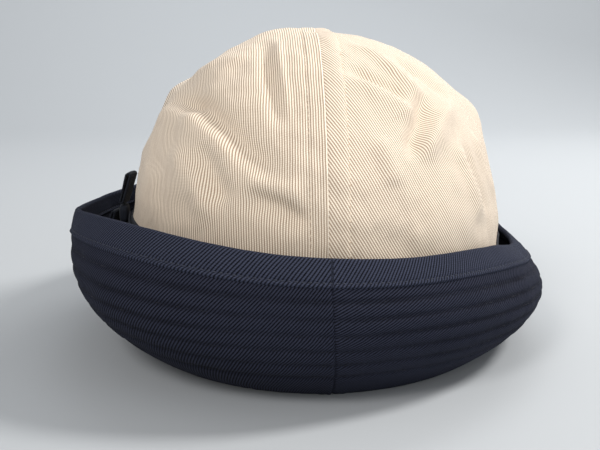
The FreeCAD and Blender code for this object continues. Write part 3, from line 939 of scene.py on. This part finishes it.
def make_brim():
    inner = BRIM_THICK - BRIM_CLOTH
    gap = 0.05
    for name, side, material in (("left", -1, navy_left), ("right", 1, navy_right)):
        under = brim_half("brim_underside_" + name + "_cloth", side, 0, BRIM_CLOTH, (1, 0), material)
        place(under, "navy_twill", "brim_underside_" + name)
        top = brim_half("brim_top_" + name + "_cloth", side, inner, BRIM_THICK, (0, -1), material)
        place(top, "navy_twill", "brim_top_" + name)
        core = brim_half("brim_interlining_" + name + "_cloth", side, BRIM_CLOTH + gap, inner - gap,
                         (0, 0), interlining_cotton)
        place(core, "interlining", "brim_interlining_" + name)
    place(edge_binding(navy_bias), "navy_binding", "brim_edge_binding")
    outer_rows = [brim_row(share, 0, 1) for share in QUILT_SHARES]
    inner_rows = [brim_row(share, BRIM_THICK, -1) for share in QUILT_SHARES]
    for name, rows in (("underside", outer_rows), ("top", inner_rows)):
        place(stitches("quilting_" + name, rows, QUILT_STITCH, navy_thread), "navy_thread",
              "quilting_thread_" + name)
    share = 1 - BINDING_TALL + BINDING_STITCH_UP / BRIM_LENGTH
    proud = BINDING_GAP + BINDING_CLOTH - BEAD
    rows = []
    for side in (1, -1):
        depth = BRIM_THICK / 2 - side * (BRIM_THICK / 2 + proud)
        ring, inward = swayed_ring(ring_angles(), share, depth)
        rows.append((ring, -side * inward))
    place(stitches("binding_stitching", rows, EDGE_STITCH, binding_thread, sink=0), "navy_thread",
          "binding_stitching")


# ---------------------------------------------------------------- ribbon and bow


def crown_band(name, angles, middle, half, near, far):
    """Ribbon lying on the folded crown between two heights above it, with rounded edges."""
    columns = 9
    rings = [crown_sheet(angles, crown_part(middle + half * step), -level)
             for level, step in strip_section(far, near, columns)]
    grid = np.stack(rings, 1)
    uv = cloth_grid(arc_lengths(grid[:, columns // 2]), arc_lengths(grid[0]))
    return tube(name, grid[:, ::-1], uv[:, ::-1], grosgrain, capped=True)


def ribbon_loop(name, centre, width, route, twist):
    """Ribbon swept along a closed route in the plane across the hat, turned by the twist."""
    ahead = unit(np.roll(route, -1, 0) - np.roll(route, 1, 0))
    out = np.stack([ahead[:, 1], -ahead[:, 0]], -1)
    rings = []
    for level, step in strip_section(1, -1, 9, spare=0.03):
        cup = 0.25 * step * step
        shift = LOOP_THICK / 2 * level - cup
        x = route[:, 0] + out[:, 0] * shift + width / 2 * step * math.sin(twist)
        y = centre + width / 2 * step * math.cos(twist) + 0 * x
        z = route[:, 1] + out[:, 1] * shift
        rings.append(np.stack([x, y, z], -1))
    grid = np.stack(rings, 1)
    run = np.arange(len(route)) * np.linalg.norm(route[1] - route[0])
    return tube(name, grid, cloth_grid(run, arc_lengths(grid[0])), grosgrain)


def drop_route(first, first_radius, second, second_radius, count=96):
    """Closed drop shape round two circles, as (x, z) points evenly spaced."""
    first, second = np.array(first), np.array(second)
    along = unit(second - first)
    across = np.array([-along[1], along[0]])
    lean = (first_radius - second_radius) / np.linalg.norm(second - first)
    points = []
    tilt = math.asin(-lean)
    for turn in np.linspace(-math.pi / 2 - tilt, math.pi / 2 + tilt, 40):
        points.append(second + second_radius * (along * math.cos(turn) + across * math.sin(turn)))
    for turn in np.linspace(math.pi / 2 + tilt, 1.5 * math.pi - tilt, 24):
        points.append(first + first_radius * (along * math.cos(turn) + across * math.sin(turn)))
    points = np.array(points + points[:1])
    run = arc_lengths(points)
    at = np.linspace(0, run[-1], count, endpoint=False)
    return np.stack([np.interp(at, run, points[:, 0]), np.interp(at, run, points[:, 1])], -1)


def make_knot(centre, half):
    """Ribbon wrapped tight: a rounded block with creases from the pull of the loops."""
    turns = np.linspace(0, 2 * math.pi, 48, endpoint=False)
    levels = np.linspace(-1, 1, 25)
    roundness = 3.2
    x = np.sign(np.cos(turns)) * np.abs(np.cos(turns)) ** 0.7
    y = np.sign(np.sin(turns)) * np.abs(np.sin(turns)) ** 0.7
    rings = []
    for level in levels:
        size = max((1 - abs(level) ** roundness) ** (1 / roundness), 0.05)
        wide = size * (1 - 0.06 * np.cos(turns * 9) ** 2 * (1 - level ** 2))
        ring = np.stack([x * half[0] * wide, y * half[1] * wide, level * half[2] + 0 * x], -1)
        rings.append(ring + centre)
    run = np.arange(len(turns)) * 0.7
    uv = cloth_grid(levels * half[2], run)[..., ::-1]
    return tube("bow_knot", np.stack(rings, 0), uv, grosgrain, capped=True)


def make_ribbon():
    knot_low, knot_high = node_box("ribbon_knot")
    knot = (knot_low + knot_high) / 2
    angles = KNOT_ANGLE + np.linspace(0.002, 2 * math.pi - 0.002, 721)
    heights = RIBBON_Z - RIBBON_TILT * np.cos(angles)
    place(crown_band("crown_ribbon_band", angles, heights, RIBBON_HALF, 0.1, 1.1), "black_ribbon",
          "crown_ribbon")
    angles = np.radians(np.linspace(*TAIL_ANGLES, 60))
    heights = TAIL_Z - TAIL_FALL * (angles - angles[0])
    place(crown_band("ribbon_tail_end", angles, heights, TAIL_HALF, 1.5, 2.3), "black_ribbon",
          "ribbon_tail")
    low, high = node_box("bow_loop_upright")
    width = high[1] - low[1]
    for name, drop, twist in (("upright", UPRIGHT_LOOP, UPRIGHT_TWIST), ("lower", LOWER_LOOP, LOWER_TWIST)):
        loop = ribbon_loop("bow_" + name, knot[1], width, drop_route(*drop), twist)
        place(loop, "black_ribbon", "bow_loop_" + name)
    place(make_knot(knot, (knot_high - knot_low) / 2), "black_ribbon", "ribbon_knot")


# ---------------------------------------------------------------- stage

# The camera looks at a point inside the hat, from behind and a little above. Lengths are in metres.
CAMERA_TURN = math.radians(-2.4)
CAMERA_RISE = math.radians(12.0)
CAMERA_AWAY = 0.5044
CAMERA_TARGET = Vector((-0.0074, 0.0, 0.0526))
CAMERA_LENS = 56.58               # millimetres, on a sensor 36 mm wide

MIDDLE = (0, 0, 0.07)
LIGHTS = (                        # name, place, aim, size, watts, colour
    ("key", (0.90, 0.02, 1.0), MIDDLE, 0.3, 14.5, (1.0, 0.97, 0.93)),
    ("back_right", (0.5, 0.8, 0.8), MIDDLE, 0.6, 4, (1.0, 0.98, 0.95)),
    ("left_fill", (-0.55, -0.95, 0.95), MIDDLE, 0.4, 7.2, (1.0, 0.965, 0.93)),
    ("right_fill", (1.1, -0.6, 0.15), MIDDLE, 0.6, 3, (0.84, 0.92, 1.0)),
    ("front_fill", (-0.3, -1.2, 0.3), MIDDLE, 0.6, 2.6, (1.0, 0.98, 0.95)),
    ("backdrop", (0, 0.7, 1.5), (0, 1.8, 0.6), 0.8, 12, (0.97, 0.985, 1.0)),
)


def make_camera():
    back = Vector((math.sin(CAMERA_TURN) * math.cos(CAMERA_RISE),
                   -math.cos(CAMERA_TURN) * math.cos(CAMERA_RISE), math.sin(CAMERA_RISE)))
    data = bpy.data.cameras.new("camera")
    data.sensor_width = 36.0
    data.lens = CAMERA_LENS
    data.clip_start = 0.01
    camera = bpy.data.objects.new("camera", data)
    camera.location = CAMERA_TARGET + back * CAMERA_AWAY
    camera.rotation_euler = (-back).to_track_quat("-Z", "Y").to_euler()
    bpy.context.collection.objects.link(camera)
    bpy.context.scene.camera = camera


def area_light(name, spot, aim, size, watts, colour):
    data = bpy.data.lights.new(name, "AREA")
    data.shape = "DISK"
    data.size = size
    data.energy = watts
    data.color = colour
    lamp = bpy.data.objects.new(name, data)
    lamp.location = spot
    lamp.rotation_euler = (Vector(aim) - Vector(spot)).to_track_quat("-Z", "Y").to_euler()
    bpy.context.collection.objects.link(lamp)


def make_floor():
    """Pale floor that curves up into a plain backdrop behind the hat. Lengths are in metres."""
    near, bend, radius, top, half_width = -3.0, 0.9, 0.9, 4.0, 4.0
    sweep = [(near, 0.0), (bend, 0.0)]
    for turn in np.linspace(0, math.pi / 2, 25)[1:]:
        sweep.append((bend + radius * math.sin(turn), radius - radius * math.cos(turn)))
    sweep.append((bend + radius, top))
    vertices = [(x, y, z) for y, z in sweep for x in (-half_width, half_width)]
    faces = [(2 * k, 2 * k + 1, 2 * k + 3, 2 * k + 2) for k in range(len(sweep) - 1)]
    floor = new_object("floor", np.array(vertices) / MM, faces)
    pale = Nodes("pale_floor")
    pale.shader.inputs["Base Color"].default_value = (0.42, 0.445, 0.47, 1)
    pale.shader.inputs["Roughness"].default_value = 0.85
    floor.data.materials.append(pale.material)


def make_stage():
    make_floor()
    world = bpy.data.worlds.new("studio")
    world.use_nodes = True
    sky = world.node_tree.nodes["Background"]
    sky.inputs["Color"].default_value = (0.90, 0.89, 0.88, 1)
    sky.inputs["Strength"].default_value = 0.58
    bpy.context.scene.world = world
    for light in LIGHTS:
        area_light(*light)
    bpy.context.scene.view_settings.view_transform = "Standard"


make_camera()
make_stage()
make_crown()
make_crown_inside()
make_sweatband()
make_brim()
make_ribbon()
